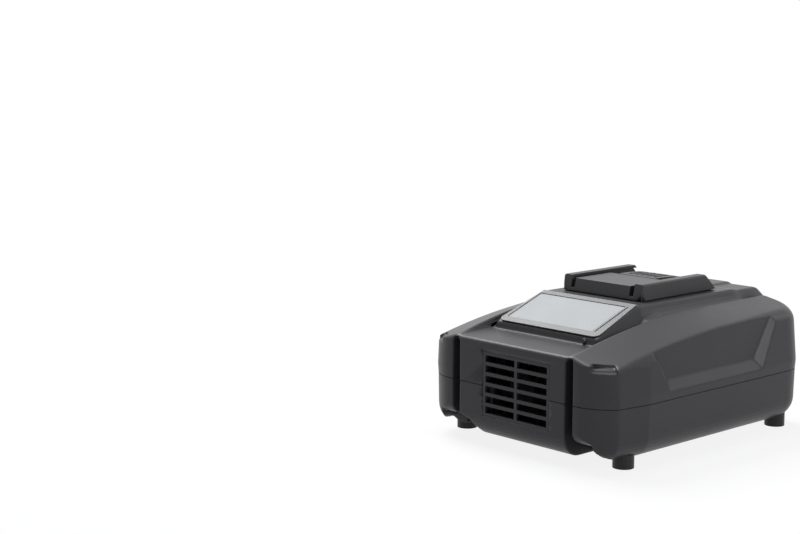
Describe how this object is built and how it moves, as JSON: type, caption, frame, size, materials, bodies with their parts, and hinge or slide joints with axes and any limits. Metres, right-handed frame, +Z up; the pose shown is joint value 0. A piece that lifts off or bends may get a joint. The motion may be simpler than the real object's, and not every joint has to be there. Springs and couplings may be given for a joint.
{
  "type": "power tool battery charger",
  "caption": "Low, wide charger for slide-on power tool battery packs, with a rail dock on its deck, a sloping label panel and a cooling fan behind a slotted front grille.",
  "frame": {"origin": "on the table, below the middle of the charger's bounding box", "axes": "+X to the right seen from the front, +Y from the front grille to the back, +Z up"},
  "size_m": [0.1472, 0.1857, 0.092],
  "materials": {
    "housing_plastic": "fine matte moulded texture",
    "dock_plastic": "matte moulded",
    "label_silver": "satin silver-grey, bare",
    "clear_guide": "clear light guide",
    "contact_metal": "tinned brass",
    "board": "green solder mask",
    "screw_steel": "zinc plated",
    "foot_rubber": "matte rubber",
    "bush_rubber": "matte rubber",
    "fuse_glass": "satin",
    "winding": "enamelled wire and tape",
    "film_yellow": "cast case",
    "capacitor_sleeve": "plastic sleeve",
    "ferrite": "matte ferrite",
    "heat_sink": "extruded",
    "transistor": "moulded",
    "fan_plastic": "moulded"
  },
  "bodies": {
    "housing": {"lower_shell": "housing_plastic", "upper_shell": "housing_plastic", "intake_grille": "housing_plastic", "label_frame": "housing_plastic", "label_plate": "label_silver", "light_guide": "clear_guide", "battery_dock": "dock_plastic", "contact_block": "dock_plastic", "contact_blades": "contact_metal", "contact_board": "board", "dock_screws": "screw_steel", "foot_front_left": "foot_rubber", "foot_front_right": "foot_rubber", "foot_rear_left": "foot_rubber", "foot_rear_right": "foot_rubber", "case_screws": "screw_steel", "cord_gland": "bush_rubber", "circuit_board": "board", "board_screws": "screw_steel", "fuse": "fuse_glass", "filter_choke": "winding", "film_capacitor": "film_yellow", "bulk_capacitor": "capacitor_sleeve", "transformer_core": "ferrite", "transformer_winding": "winding", "primary_heat_sink": "heat_sink", "output_heat_sink": "heat_sink", "power_transistors": "transistor", "output_capacitors": "capacitor_sleeve", "fan_frame": "fan_plastic"},
    "fan": {"fan_rotor": "fan_plastic"}
  },
  "joints": [
    {"name": "fan_spin", "type": "hinge", "parent": "housing", "child": "fan", "pos_m": [0.004, -0.08, 0.0372], "axis": [0, 1, 0], "continuous": true}
  ]
}
